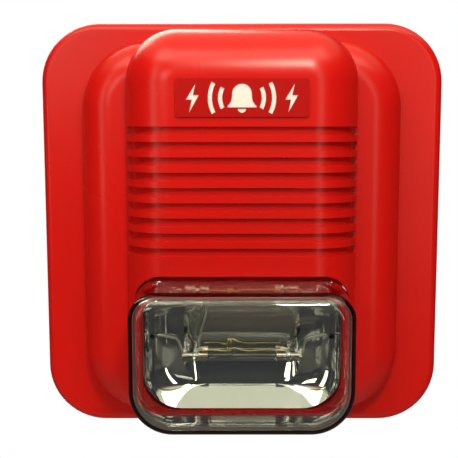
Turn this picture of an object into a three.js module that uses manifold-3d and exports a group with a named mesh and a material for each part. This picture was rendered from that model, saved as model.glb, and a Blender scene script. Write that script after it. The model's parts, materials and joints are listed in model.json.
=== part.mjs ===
// A wall-mounted fire alarm horn strobe: a red sounder and strobe head, hinged on a wall plate.
//
// Every piece is drawn as seen from the front: x runs to the right, y runs up and z runs out
// of the wall, from 0 at the wall. The last lines stand that drawing up, so that +Z is up and
// the front faces -Y. Lengths are millimetres.

import * as THREE from 'three';
import { mergeVertices } from 'three/addons/utils/BufferGeometryUtils.js';
import Module from 'manifold-3d';

const wasm = await Module();
wasm.setup();

// ---------------------------------------------------------------- driving dimensions

const FIT = 0.3; // clearance between pieces that fit into each other
const TOUCH = 0.05; // clearance between pieces that lie on each other
const WALL = 2.2; // wall of the front cover
const CORNER_STEPS = 3; // half the number of facets in a quarter turn of an outline
const ROLL_STEPS = 5; // facets across a rolled edge

// The three tiers of the front cover, from the wall outwards.
const PLATE = { halfWidth: 60, bottom: -60.75, top: 60.75, corner: 17.5, back: 1, front: 10, roll: 2.5 };
const SHOULDER = { halfWidth: 47.3, bottom: -56.3, top: 55, corner: 19, back: 7, front: 20.5, roll: 9.5 };
const TOWER = { halfWidth: 33.4, bottom: -55.5, top: 57.8, corner: 15, back: 7, front: 34, roll: 13.7 };

const GROOVES = { count: 9, top: 29.2, pitch: 4.24, height: 2.35, depth: 1.35 };
const SOUND_SLIT = { count: 5, halfLength: 13, height: 0.8 };

const LENS = { halfWidth: 30.7, bottom: -52.5, top: -11.8, lowerCorner: 12, upperCorner: 8 };
const LENS_WALL = 1.5;
const LENS_FRONT = 52.5;
const LENS_SEAT = 27; // floor of the channel that the lens stands in
const RIM = { outer: 1.7, inner: 2.6 }; // insets of the rim that stands inside the lens

const REFLECTOR = { mouth: 33.6, depth: 16, inset: 9, wall: 0.7 };

const TUBE = { y: -35.2, z: 30, radius: 1.5, halfLength: 16.5 };

const BASE = { halfWidth: 57.4, bottom: -58.2, top: 54.6, corner: 15, thickness: 2.5 };
const CABLE_ENTRY = { halfWidth: 20, bottom: -34, top: -14 };

const HINGE = { y: 55.3, z: 5.2, x: 22, pinRadius: 1, lugRadius: 2.2, lug: 1.8, hook: 2.8, hookHalf: 2.3 };
const LOCK = {
  z: 5.2, shank: 1.4, head: 2.8, forkBottom: -55.2, forkTop: -52.6,
  recess: { halfWidth: 4.6, back: 1.4, floor: -58.3, top: -55.8 },
};
const NUT = { half: 2.75, bottom: -52.2, top: -50 };
const TOP_RELIEF = 2.6; // how far the top edge is cut back from the wall

const REAR_COVER = { halfWidth: 44.8, bottom: -53.8, top: 52.5, corner: 16.5, back: 10.5, front: 12 };
const COVER_BOSS = { x: 38, lower: -42, upper: 40, radius: 3, bore: 1.35, front: 18.9, boreEnd: 17 };

const BOARD = { halfWidth: 29.5, bottom: -50.5, top: 49, back: 14.5, front: 16.1 };
const BOARD_FIXING = { x: 22, lower: -47, upper: 45.5 };

const SOUNDER = { y: 11.5, radius: 18, back: 16.4, front: 30.2, wall: 1.2 };

const TERMINAL = { count: 4, pitch: 7.6, y: 15, bottom: 9.5, top: 23.5, back: 2.6, front: 9.8 };
const CONTACT = { y: 29.5, tip: 10 };
const DIP = { x: 20, y: -20, halfX: 4.9, halfY: 5.9, back: 10, front: 14.3, count: 4, pitch: 2.54 };

// ---------------------------------------------------------------- materials

function plastic(color, roughness = 0.5) {
  return new THREE.MeshStandardMaterial({ color, roughness, metalness: 0 });
}

function metal(color, roughness = 0.35) {
  return new THREE.MeshStandardMaterial({ color, roughness, metalness: 1 });
}

const redPlastic = () => plastic('#c3241b', 0.42);
const whitePlastic = () => plastic('#e4e0d6', 0.5);
const steel = () => metal('#b9bcbf', 0.35);
const brass = () => metal('#c9a455', 0.35);

// ---------------------------------------------------------------- solids

/** Turns a closed geometry into a solid that can be joined and cut. */
function solid(geometry) {
  const bare = geometry.clone();
  bare.deleteAttribute('normal');
  bare.deleteAttribute('uv');
  const merged = mergeVertices(bare, 1e-4);
  return new wasm.Manifold(new wasm.Mesh({
    numProp: 3,
    vertProperties: merged.attributes.position.array,
    triVerts: new Uint32Array(merged.index.array),
  }));
}

/** Turns a solid back into a geometry for a mesh. */
function geometryOf(body) {
  const { vertProperties, triVerts } = body.getMesh();
  const geometry = new THREE.BufferGeometry();
  geometry.setAttribute('position', new THREE.BufferAttribute(vertProperties, 3));
  geometry.setIndex(new THREE.BufferAttribute(triVerts, 1));
  geometry.computeVertexNormals();
  return geometry;
}

function box([x0, x1], [y0, y1], [z0, z1]) {
  const geometry = new THREE.BoxGeometry(x1 - x0, y1 - y0, z1 - z0);
  geometry.translate((x0 + x1) / 2, (y0 + y1) / 2, (z0 + z1) / 2);
  return solid(geometry);
}

/** A cylinder that points out of the wall. */
function post(x, y, radius, [z0, z1], sides = 12) {
  const geometry = new THREE.CylinderGeometry(radius, radius, z1 - z0, sides);
  geometry.rotateX(Math.PI / 2);
  geometry.translate(x, y, (z0 + z1) / 2);
  return solid(geometry);
}

/** A cylinder that lies from left to right. */
function bar(y, z, radius, [x0, x1], sides = 12) {
  const geometry = new THREE.CylinderGeometry(radius, radius, x1 - x0, sides);
  geometry.rotateZ(Math.PI / 2);
  geometry.translate((x0 + x1) / 2, y, z);
  return solid(geometry);
}

/** A cylinder that stands upright. */
function column(x, z, radius, [y0, y1], sides = 12) {
  const geometry = new THREE.CylinderGeometry(radius, radius, y1 - y0, sides);
  geometry.translate(x, (y0 + y1) / 2, z);
  return solid(geometry);
}

/** An outline in x and y, pushed out of the wall from z0 to z1. */
function slab(shape, [z0, z1]) {
  const geometry = new THREE.ExtrudeGeometry(shape, {
    depth: z1 - z0, bevelEnabled: false, curveSegments: CORNER_STEPS,
  });
  geometry.translate(0, 0, z0);
  return solid(geometry);
}

/** An outline in y and z, pushed to the right from x0 to x1. */
function profile(shape, [x0, x1]) {
  const geometry = new THREE.ExtrudeGeometry(shape, {
    depth: x1 - x0, bevelEnabled: false, curveSegments: 2 * CORNER_STEPS,
  });
  const yzx = new THREE.Matrix4().makeBasis(
    new THREE.Vector3(0, 1, 0), new THREE.Vector3(0, 0, 1), new THREE.Vector3(1, 0, 0),
  );
  geometry.applyMatrix4(yzx);
  geometry.translate(x0, 0, 0);
  return solid(geometry);
}

/** A wire or tube of round section along a smooth curve through the points. */
function wire(points, radius, steps) {
  const section = new THREE.Shape().absarc(0, 0, radius, 0, 2 * Math.PI);
  const path = new THREE.CatmullRomCurve3(points.map((point) => new THREE.Vector3(...point)));
  return solid(new THREE.ExtrudeGeometry(section, {
    steps, extrudePath: path, curveSegments: 3, bevelEnabled: false,
  }));
}

/** A round piece about the z axis, from the [radius, z] points of half its section. */
function turned(points, sides = 24) {
  const geometry = new THREE.LatheGeometry(points.map((point) => new THREE.Vector2(...point)), sides);
  geometry.rotateX(Math.PI / 2);
  return solid(geometry);
}

/** A strip of sheet metal bent along points in y and z, drawn as its edge. */
function stripEdge(points, thickness) {
  const half = thickness / 2;
  const sides = points.map(([y, z], index) => {
    const [y0, z0] = points[Math.max(index - 1, 0)];
    const [y1, z1] = points[Math.min(index + 1, points.length - 1)];
    const length = Math.hypot(y1 - y0, z1 - z0);
    const across = [(-(z1 - z0) / length) * half, ((y1 - y0) / length) * half];
    return { left: [y + across[0], z + across[1]], right: [y - across[0], z - across[1]] };
  });
  const edge = [...sides.map((side) => side.right), ...sides.reverse().map((side) => side.left)];
  return new THREE.Shape(edge.map((point) => new THREE.Vector2(...point)));
}

/** A rectangle with round corners, shrunk by inset on every side. */
function outlineOf(tier, inset = 0) {
  const middle = tier.x ?? 0;
  const left = middle - tier.halfWidth + inset;
  const right = middle + tier.halfWidth - inset;
  const bottom = tier.bottom + inset;
  const top = tier.top - inset;
  const lower = Math.max((tier.lowerCorner ?? tier.corner) - inset, 0.6);
  const upper = Math.max((tier.upperCorner ?? tier.corner) - inset, 0.6);
  const shape = new THREE.Shape();
  shape.absarc(right - lower, bottom + lower, lower, -Math.PI / 2, 0);
  shape.absarc(right - upper, top - upper, upper, 0, Math.PI / 2);
  shape.absarc(left + upper, top - upper, upper, Math.PI / 2, Math.PI);
  shape.absarc(left + lower, bottom + lower, lower, Math.PI, 1.5 * Math.PI);
  return shape;
}

/** A block through levels of one outline, each with its own inset and z. */
function stack(tier, levels) {
  const rings = levels.map(({ inset }) => outlineOf(tier, inset).getPoints(CORNER_STEPS));
  const count = rings[0].length;
  const positions = rings.flatMap((ring, level) => (
    ring.flatMap((point) => [point.x, point.y, levels[level].z])
  ));
  const faces = [];
  for (let level = 0; level < rings.length - 1; level += 1) {
    for (let near = 0; near < count; near += 1) {
      const far = (near + 1) % count;
      const low = level * count;
      const high = low + count;
      faces.push(low + near, low + far, high + far);
      faces.push(low + near, high + far, high + near);
    }
  }
  const lastRing = (rings.length - 1) * count;
  for (const [a, b, c] of THREE.ShapeUtils.triangulateShape(rings[0], [])) {
    faces.push(c, b, a);
  }
  for (const [a, b, c] of THREE.ShapeUtils.triangulateShape(rings.at(-1), [])) {
    faces.push(lastRing + a, lastRing + b, lastRing + c);
  }
  const geometry = new THREE.BufferGeometry();
  geometry.setAttribute('position', new THREE.Float32BufferAttribute(positions, 3));
  geometry.setIndex(faces);
  return solid(geometry);
}

/** A block whose front edge is rolled over, shrunk by inset on every outer face. */
function rolledBlock(tier, inset = 0) {
  const roll = tier.roll - inset;
  const front = tier.front - inset;
  const levels = [{ inset, z: tier.back }];
  for (let step = 0; step <= ROLL_STEPS; step += 1) {
    const turn = (step / ROLL_STEPS) * (Math.PI / 2);
    levels.push({
      inset: inset + roll * (1 - Math.cos(turn)),
      z: front - roll * (1 - Math.sin(turn)),
    });
  }
  return stack(tier, levels);
}

/** Joins a list of solids into one. */
function joined(bodies) {
  return bodies.reduce((all, body) => all.add(body));
}

/** A frame between two insets of one outline. */
function frameOf(tier, outerInset, innerInset, [z0, z1]) {
  const outer = slab(outlineOf(tier, outerInset), [z0, z1]);
  return outer.subtract(slab(outlineOf(tier, innerInset), [z0 - 1, z1 + 1]));
}

// ---------------------------------------------------------------- the front view

const frontView = new THREE.Group();

/** Adds a named piece to the front view, moved to its place and tipped about the x axis. */
function place(name, body, material, [x, y, z] = [0, 0, 0], tip = 0) {
  const mesh = new THREE.Mesh(geometryOf(body), material);
  mesh.name = name;
  mesh.position.set(x, y, z);
  mesh.rotation.x = tip;
  frontView.add(mesh);
}

/** The places of a row that is centred on 0. */
function rowOf(count, pitch) {
  return Array.from({ length: count }, (_, index) => (index - (count - 1) / 2) * pitch);
}

const mirrored = [{ side: 'left', sign: -1 }, { side: 'right', sign: 1 }];

// ---------------------------------------------------------------- front cover

function grooveCutter() {
  const core = rolledBlock(TOWER, GROOVES.depth);
  const half = GROOVES.height / 2;
  const reach = TOWER.halfWidth + 1;
  const slabs = Array.from({ length: GROOVES.count }, (_, index) => {
    const y = GROOVES.top - index * GROOVES.pitch;
    return box([-reach, reach], [y - half, y + half], [SHOULDER.front + FIT, TOWER.front + 1]);
  });
  return joined(slabs).subtract(core);
}

function soundSlits() {
  const firstGroove = (GROOVES.count - SOUND_SLIT.count) / 2;
  const span = [-SOUND_SLIT.halfLength, SOUND_SLIT.halfLength];
  const slits = Array.from({ length: SOUND_SLIT.count }, (_, index) => {
    const top = GROOVES.top - (firstGroove + index) * GROOVES.pitch + GROOVES.height / 2;
    return box(span, [top - SOUND_SLIT.height, top], [SOUNDER.front, TOWER.front + 1]);
  });
  return joined(slits);
}

/** The saddle that drops over a hinge pin. */
function hingeHook(x) {
  const half = HINGE.hookHalf;
  const slot = HINGE.pinRadius + FIT / 2;
  const tip = HINGE.z - 1.8;
  const root = PLATE.front - WALL / 2;
  const edge = new THREE.Shape();
  edge.moveTo(HINGE.y - half, tip);
  edge.lineTo(HINGE.y - slot, tip);
  edge.lineTo(HINGE.y - slot, HINGE.z);
  edge.absarc(HINGE.y, HINGE.z, slot, Math.PI, 0, true);
  edge.lineTo(HINGE.y + slot, tip);
  edge.lineTo(HINGE.y + half, tip);
  edge.lineTo(HINGE.y + half, root);
  edge.lineTo(HINGE.y - half, root);
  return profile(edge, [x - HINGE.hook / 2, x + HINGE.hook / 2]);
}

function frontCover() {
  const towerBlock = rolledBlock(TOWER);
  const tiers = rolledBlock(PLATE).add(rolledBlock(SHOULDER)).add(towerBlock);
  const hollow = stack(PLATE, [
    { inset: WALL, z: PLATE.back - 1 },
    { inset: WALL, z: PLATE.front - WALL },
  ]).add(rolledBlock(SHOULDER, WALL)).add(rolledBlock(TOWER, WALL));
  let cover = tiers.subtract(hollow);

  // The seat of the lens: a ring inside the tower, with a rim that stands up inside the lens.
  const seatRing = frameOf(LENS, -1, RIM.inner, [LENS_SEAT - 2, TOWER.front]);
  const rim = frameOf(LENS, RIM.outer, RIM.inner, [LENS_SEAT - 2, TOWER.front]);
  const aperture = slab(outlineOf(LENS, RIM.inner), [LENS_SEAT - 3, TOWER.front + 1]);
  const channel = frameOf(LENS, -FIT, RIM.outer, [LENS_SEAT, TOWER.front + 1]);
  cover = cover.add(seatRing.intersect(towerBlock)).subtract(channel).subtract(aperture).add(rim);

  cover = cover.subtract(grooveCutter()).subtract(soundSlits());

  for (const { sign } of mirrored) {
    cover = cover.add(hingeHook(sign * HINGE.x));
    for (const y of [COVER_BOSS.lower, COVER_BOSS.upper]) {
      const x = sign * COVER_BOSS.x;
      const boss = post(x, y, COVER_BOSS.radius, [REAR_COVER.front + FIT, COVER_BOSS.front]);
      cover = cover.add(boss.subtract(post(x, y, COVER_BOSS.bore, [REAR_COVER.front, COVER_BOSS.boreEnd])));
    }
  }

  // The recess of the locking screw, and the top edge cut back so that it clears the wall.
  const { recess } = LOCK;
  const lockBlock = box(
    [-recess.halfWidth, recess.halfWidth],
    [PLATE.bottom + 0.5, recess.top],
    [recess.back, PLATE.front - WALL + 0.5],
  );
  const counterbore = column(0, LOCK.z, LOCK.head + FIT, [PLATE.bottom - 1, recess.floor]);
  const lockHole = column(0, LOCK.z, LOCK.shank + FIT, [PLATE.bottom - 1, recess.top + 1]);
  const beyond = PLATE.top + 10;
  const topRelief = box([-beyond, beyond], [HINGE.y - 0.6, beyond], [0, TOP_RELIEF]);
  return cover.add(lockBlock).subtract(counterbore).subtract(lockHole).subtract(topRelief);
}

place('front_cover', frontCover(), redPlastic());

// ---------------------------------------------------------------- label with pictograms

const LABEL = { halfWidth: 18.5, bottom: 33, top: 43.5, corner: 0.8 };
const LABEL_SHEET = 0.2;
const MARK_Y = 38.2;

function bellMark() {
  const bell = new THREE.Shape();
  bell.moveTo(-3.9, MARK_Y - 2.5);
  bell.lineTo(3.9, MARK_Y - 2.5);
  bell.lineTo(2.9, MARK_Y - 1.2);
  bell.lineTo(2.7, MARK_Y + 1.2);
  bell.absarc(0, MARK_Y + 1.2, 2.7, 0, Math.PI);
  bell.lineTo(-2.9, MARK_Y - 1.2);
  return bell;
}

function clapperMark() {
  const clapper = new THREE.Shape();
  clapper.absarc(0, MARK_Y - 2.9, 1.1, Math.PI, 2 * Math.PI);
  return clapper;
}

function soundArcMark(sign, radius) {
  const middle = sign > 0 ? 0 : Math.PI;
  const spread = 0.49;
  const arc = new THREE.Shape();
  arc.absarc(0, MARK_Y, radius + 0.6, middle - spread, middle + spread);
  arc.absarc(0, MARK_Y, radius - 0.6, middle + spread, middle - spread, true);
  return arc;
}

function flashMark(x) {
  const corners = [[0.9, 4], [-1.8, -0.5], [-0.2, -0.5], [-0.9, -4], [1.8, 0.8], [0.2, 0.8]];
  return new THREE.Shape(corners.map(([dx, dy]) => new THREE.Vector2(x + dx, MARK_Y + dy)));
}

/** The label's dark face, with every mark cut through it so that the white backing shows. */
function labelFace() {
  const back = TOWER.front + LABEL_SHEET + 2 * TOUCH;
  const marks = [bellMark(), clapperMark()];
  for (const { sign } of mirrored) {
    marks.push(soundArcMark(sign, 6), soundArcMark(sign, 8.8), flashMark(sign * 13.6));
  }
  const openings = joined(marks.map((mark) => slab(mark, [back - 1, back + 1])));
  return slab(outlineOf(LABEL), [back, back + LABEL_SHEET]).subtract(openings);
}

const backingZ = [TOWER.front + TOUCH, TOWER.front + TOUCH + LABEL_SHEET];
place('label_backing', slab(outlineOf(LABEL, 0.2), backingZ), whitePlastic());
place('label_face', labelFace(), plastic('#8f1310', 0.4));

// ---------------------------------------------------------------- lens and its seal

const LENS_BACK = LENS_SEAT + 1.1;

function lens() {
  const outside = rolledBlock({ ...LENS, back: LENS_BACK, front: LENS_FRONT, roll: 2.6 });
  const inside = rolledBlock({ ...LENS, back: LENS_BACK - 1, front: LENS_FRONT, roll: 2.6 }, LENS_WALL);
  return outside.subtract(inside);
}

place('lens', lens(), new THREE.MeshStandardMaterial({
  color: '#dfe6e4', roughness: 0.05, metalness: 0, transparent: true, opacity: 0.35,
}));
place(
  'lens_seal',
  frameOf(LENS, 0.1, LENS_WALL - 0.1, [LENS_SEAT + TOUCH, LENS_BACK - TOUCH]),
  plastic('#26282a', 0.8),
);

// ---------------------------------------------------------------- reflector

/** The bowl of the reflector: its mouth is the lens outline shrunk by inset, and it ends at front. */
function bowl(inset, depth, front) {
  const levels = [];
  for (let step = 0; step <= ROLL_STEPS; step += 1) {
    const turn = (step / ROLL_STEPS) * (Math.PI / 2);
    levels.push({
      inset: inset + REFLECTOR.inset * (1 - Math.sin(turn)),
      z: REFLECTOR.mouth - depth * Math.cos(turn),
    });
  }
  levels.push({ inset, z: front });
  return stack(LENS, levels);
}

const REFLECTOR_FOOT = { x: 14, rows: [-36.5, -26.5], radius: 1.3, top: 19 };
const LEAD_HOLE = { x: 25.6, y: -29.2, radius: 0.8 };
const TRIGGER_HOLE = { x: -11.6, y: -16.4 };

function reflector() {
  const outer = bowl(RIM.inner + FIT, REFLECTOR.depth + REFLECTOR.wall, REFLECTOR.mouth + 0.1);
  const inner = bowl(RIM.inner + FIT + REFLECTOR.wall, REFLECTOR.depth, REFLECTOR.mouth + 1);
  let shell = outer;
  for (const { sign } of mirrored) {
    for (const y of REFLECTOR_FOOT.rows) {
      const height = [BOARD.front + FIT, REFLECTOR_FOOT.top];
      shell = shell.add(post(sign * REFLECTOR_FOOT.x, y, REFLECTOR_FOOT.radius, height));
    }
  }
  shell = shell.subtract(inner);
  const through = [BOARD.front + 1, TUBE.z];
  for (const { sign } of mirrored) {
    shell = shell.subtract(post(sign * LEAD_HOLE.x, LEAD_HOLE.y, LEAD_HOLE.radius, through));
  }
  return shell.subtract(post(TRIGGER_HOLE.x, TRIGGER_HOLE.y, LEAD_HOLE.radius, through));
}

place('reflector', reflector(), metal('#d6d8da', 0.08));

// ---------------------------------------------------------------- flash tube, clips and leads

const CAP = { radius: 1.75, length: 3, wall: 0.2 };
const CLIP = { radius: 2, length: 3.4, from: 9.6 };
const LEAD = 0.4;

place(
  'flash_tube',
  bar(TUBE.y, TUBE.z, TUBE.radius, [-TUBE.halfLength, TUBE.halfLength], 16),
  new THREE.MeshStandardMaterial({ color: '#cfd8d8', roughness: 0.04, transparent: true, opacity: 0.4 }),
);

for (const { side, sign } of mirrored) {
  const capEnd = TUBE.halfLength + 0.6;
  const capSpan = [sign * (capEnd - CAP.length), sign * capEnd].sort((a, b) => a - b);
  const bore = [sign * (capEnd - CAP.length - 1), sign * (TUBE.halfLength + TOUCH)].sort((a, b) => a - b);
  const cap = bar(TUBE.y, TUBE.z, CAP.radius, capSpan, 16)
    .subtract(bar(TUBE.y, TUBE.z, TUBE.radius + TOUCH, bore, 16));
  place(`tube_cap_${side}`, cap, metal('#a9a49a', 0.3));

  const clipSpan = [sign * CLIP.from, sign * (CLIP.from + CLIP.length)].sort((a, b) => a - b);
  const clip = bar(TUBE.y, TUBE.z, CLIP.radius, clipSpan, 16)
    .subtract(bar(TUBE.y, TUBE.z, TUBE.radius + TOUCH, [clipSpan[0] - 1, clipSpan[1] + 1], 16));
  place(`trigger_clip_${side}`, clip, metal('#a9a49a', 0.3));

  const start = sign * (capEnd + LEAD + FIT);
  place(`electrode_lead_${side}`, wire([
    [start, TUBE.y, TUBE.z],
    [start + sign * 0.3, TUBE.y + 2.6, TUBE.z],
    [start + sign * 1.8, TUBE.y + 5.2, TUBE.z - 0.1],
    [sign * 23.6, LEAD_HOLE.y + 0.1, TUBE.z - 0.3],
    [sign * 25.3, LEAD_HOLE.y, TUBE.z - 1.4],
    [sign * LEAD_HOLE.x, LEAD_HOLE.y, TUBE.z - 4],
    [sign * LEAD_HOLE.x, LEAD_HOLE.y, BOARD.front + FIT],
  ], LEAD, 24), metal('#8f8a80', 0.35));
}

const wireY = TUBE.y + CLIP.radius + 0.35;
place('trigger_wire', wire([
  [-11.4, wireY, TUBE.z],
  [-5, wireY, TUBE.z],
  [-3.6, wireY + 0.5, TUBE.z + 0.2],
  [-2.2, wireY, TUBE.z],
  [4, wireY, TUBE.z],
  [11.4, wireY, TUBE.z],
], 0.25, 20), metal('#b08b3c', 0.3));

place('trigger_lead', wire([
  [-12.4, wireY + 0.6, TUBE.z + 0.2],
  [-12.1, -29.2, 30.4],
  [-10.7, -24.3, 30.8],
  [-10.2, -19.2, 30.4],
  [-11, -17, 29.4],
  [TRIGGER_HOLE.x, TRIGGER_HOLE.y, 27],
  [TRIGGER_HOLE.x, TRIGGER_HOLE.y, BOARD.front + FIT],
], LEAD, 24), metal('#9a958b', 0.35));

// ---------------------------------------------------------------- rear cover and circuit board

function rearCover() {
  let cover = slab(outlineOf(REAR_COVER), [REAR_COVER.back, REAR_COVER.front]);
  const through = [REAR_COVER.back - 1, REAR_COVER.front + 1];
  for (const { sign } of mirrored) {
    const x = sign * BOARD_FIXING.x;
    const screwPost = post(x, BOARD_FIXING.upper, 2.6, [REAR_COVER.front - 0.5, BOARD.back - FIT]);
    const pegShoulder = post(x, BOARD_FIXING.lower, 2.6, [REAR_COVER.front - 0.5, BOARD.back - FIT]);
    const peg = post(x, BOARD_FIXING.lower, 1.3, [REAR_COVER.front, BOARD.front + 0.8]);
    cover = cover.add(screwPost).add(pegShoulder).add(peg);
    cover = cover.subtract(post(x, BOARD_FIXING.upper, 1.3, [REAR_COVER.back + 0.6, BOARD.back]));
    for (const y of [COVER_BOSS.lower, COVER_BOSS.upper]) {
      cover = cover.subtract(post(sign * COVER_BOSS.x, y, 1.6, through));
    }
  }
  for (const x of rowOf(TERMINAL.count, TERMINAL.pitch)) {
    cover = cover.subtract(post(x, CONTACT.y, 1.3, through));
  }
  const window = box([DIP.x - DIP.halfX - 0.4, DIP.x + DIP.halfX + 0.4],
    [DIP.y - DIP.halfY - 0.4, DIP.y + DIP.halfY + 0.4], through);

  // The cradle that keeps the square nut of the locking screw from turning.
  const grip = NUT.half + 0.35;
  const cradle = box([-grip - 1.4, grip + 1.4], [-52.3, -48], [3.2, REAR_COVER.back + 0.5])
    .subtract(box([-grip, grip], [-53, -49.2], [3, REAR_COVER.back - 2]));
  return cover.subtract(window).add(cradle);
}

place('rear_cover', rearCover(), plastic('#a81d17', 0.55));

function circuitBoard() {
  let board = slab(outlineOf({ ...BOARD, corner: 3 }), [BOARD.back, BOARD.front]);
  const through = [BOARD.back - 1, BOARD.front + 1];
  for (const { sign } of mirrored) {
    board = board.subtract(post(sign * BOARD_FIXING.x, BOARD_FIXING.lower, 1.6, through));
    board = board.subtract(post(sign * BOARD_FIXING.x, BOARD_FIXING.upper, 1.6, through));
  }
  return board;
}

place('circuit_board', circuitBoard(), plastic('#1f6b3c', 0.45));

// ---------------------------------------------------------------- screws

/** A pan head screw with a cross recess, its head towards +z and its shank below z = 0. */
function panScrew(headRadius, headHeight, shankRadius, shankLength) {
  const screw = turned([
    [0, -shankLength], [shankRadius, -shankLength], [shankRadius, 0], [headRadius, 0],
    [headRadius, headHeight * 0.6], [headRadius * 0.7, headHeight], [0, headHeight],
  ], 12);
  const slot = headHeight * 0.45;
  const arm = headRadius * 0.6;
  const blade = 0.28;
  return screw
    .subtract(box([-arm, arm], [-blade, blade], [headHeight - slot, headHeight + 1]))
    .subtract(box([-blade, blade], [-arm, arm], [headHeight - slot, headHeight + 1]));
}

const headTowardsWall = Math.PI;
const headDown = Math.PI / 2;

const coverScrewPlaces = mirrored.flatMap(({ sign }) => [
  [sign * COVER_BOSS.x, COVER_BOSS.lower], [sign * COVER_BOSS.x, COVER_BOSS.upper],
]);
for (const [index, [x, y]] of coverScrewPlaces.entries()) {
  const at = [x, y, REAR_COVER.back - TOUCH];
  place(`rear_cover_screw_${index + 1}`, panScrew(2.6, 1.6, 1.15, 5.6), steel(), at, headTowardsWall);
}

mirrored.forEach(({ sign }, index) => {
  const at = [sign * BOARD_FIXING.x, BOARD_FIXING.upper, BOARD.front + TOUCH];
  place(`board_screw_${index + 1}`, panScrew(2.3, 1.5, 1.1, 4.4), steel(), at);
});

// ---------------------------------------------------------------- parts on the circuit board

const onBoard = BOARD.front + 0.1;

function canOnItsSide(radius, length) {
  const half = length / 2;
  return bar(0, radius, radius, [-half, half - 1.6], 16)
    .add(bar(0, radius, radius * 0.9, [half - 1.8, half - 1.2], 16))
    .add(bar(0, radius, radius, [half - 1.3, half], 16));
}

place('flash_capacitor', canOnItsSide(6, 27), plastic('#23262b', 0.4), [0, 37.6, onBoard]);
place('trigger_coil', post(0, 0, 3.4, [0, 9], 16), plastic('#b9a13b', 0.5), [24.6, 2, onBoard]);
place('inductor', turned([
  [0, 0], [4.3, 0], [4.3, 1.4], [2.6, 2], [2.6, 6], [4.3, 6.6], [4.3, 8], [0, 8],
], 16), plastic('#2b2b2e', 0.5), [24.6, 21, onBoard]);
place('driver_chip', box([-3, 3], [-4, 4], [0, 1.7]), plastic('#1a1b1d', 0.5), [-24.5, 18, onBoard]);

function transistor() {
  const tab = new THREE.Shape();
  tab.moveTo(-2.1, -1.2);
  tab.lineTo(2.1, -1.2);
  tab.absarc(0, -1.2, 2.1, 0, Math.PI);
  return slab(tab, [0, 5]);
}

place('transistor', transistor(), plastic('#1a1b1d', 0.5), [-24.5, 4, onBoard]);

// ---------------------------------------------------------------- sounder

function sounderHousing() {
  const { radius, back, front, wall } = SOUNDER;
  const depth = front - back;
  const ledge = 8.4;
  return turned([
    [0, 0], [radius, 0], [radius, depth], [radius - wall, depth], [radius - wall, ledge],
    [radius - 3.6, ledge], [radius - 3.6, wall], [0, wall],
  ], 28);
}

place('sounder_housing', sounderHousing(), plastic('#1d1e20', 0.5), [0, SOUNDER.y, SOUNDER.back]);
place('piezo_disc', post(0, 0, 16.3, [0, 0.5], 28), brass(), [0, SOUNDER.y, SOUNDER.back + 8.5]);
place('sounder_seal', turned([
  [SOUNDER.radius - 2.2, 0], [SOUNDER.radius - 0.2, 0], [SOUNDER.radius - 0.2, 1.3],
  [SOUNDER.radius - 2.2, 1.3], [SOUNDER.radius - 2.2, 0],
], 28), plastic('#3a3b3d', 0.9), [0, SOUNDER.y, SOUNDER.front + 0.1]);

// ---------------------------------------------------------------- contacts between head and wall plate

for (const [index, x] of rowOf(TERMINAL.count, TERMINAL.pitch).entries()) {
  const pin = turned([[0, 0], [0.5, 0], [0.8, 0.5], [0.8, BOARD.back - CONTACT.tip - 0.1],
    [0, BOARD.back - CONTACT.tip - 0.1]], 12);
  place(`contact_pin_${index + 1}`, pin, brass(), [x, CONTACT.y, CONTACT.tip]);

  const spring = profile(stripEdge([
    [24, 2.9], [27, 2.9], [30.5, 2.9], [32.6, 3.7], [33.2, 5.4], [32.4, 7.2], [30.8, 8.9], [29.4, 9.4], [28, 8.8],
  ], 0.4), [-1.5, 1.5]);
  place(`contact_spring_${index + 1}`, spring, brass(), [x, 0, 0]);
}

// ---------------------------------------------------------------- DIP switch and its sliders

const SLIDER = { halfX: 0.8, halfY: 0.5, travel: 1.6, depth: 1.4, proud: 0.7 };

function dipSwitch() {
  let body = box([-DIP.halfX, DIP.halfX], [-DIP.halfY, DIP.halfY], [DIP.back, DIP.front]);
  for (const y of rowOf(DIP.count, DIP.pitch)) {
    const ends = [-SLIDER.travel / 2 - SLIDER.halfX - 0.2, SLIDER.travel / 2 + SLIDER.halfX + 0.2];
    const edges = [y - SLIDER.halfY - 0.2, y + SLIDER.halfY + 0.2];
    body = body.subtract(box(ends, edges, [DIP.back - 1, DIP.back + SLIDER.depth]));
  }
  return body;
}

place('dip_switch', dipSwitch(), plastic('#1f4f9a', 0.45), [DIP.x, DIP.y, 0]);

rowOf(DIP.count, DIP.pitch).forEach((y, index) => {
  const slider = box([-SLIDER.halfX, SLIDER.halfX], [-SLIDER.halfY, SLIDER.halfY],
    [DIP.back - SLIDER.proud, DIP.back + SLIDER.depth - 0.2]);
  const at = [DIP.x - SLIDER.travel / 2, DIP.y + y, 0];
  place(`dip_slider_${index + 1}`, slider, whitePlastic(), at);
});

// ---------------------------------------------------------------- mounting plate and hinge pins

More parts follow.
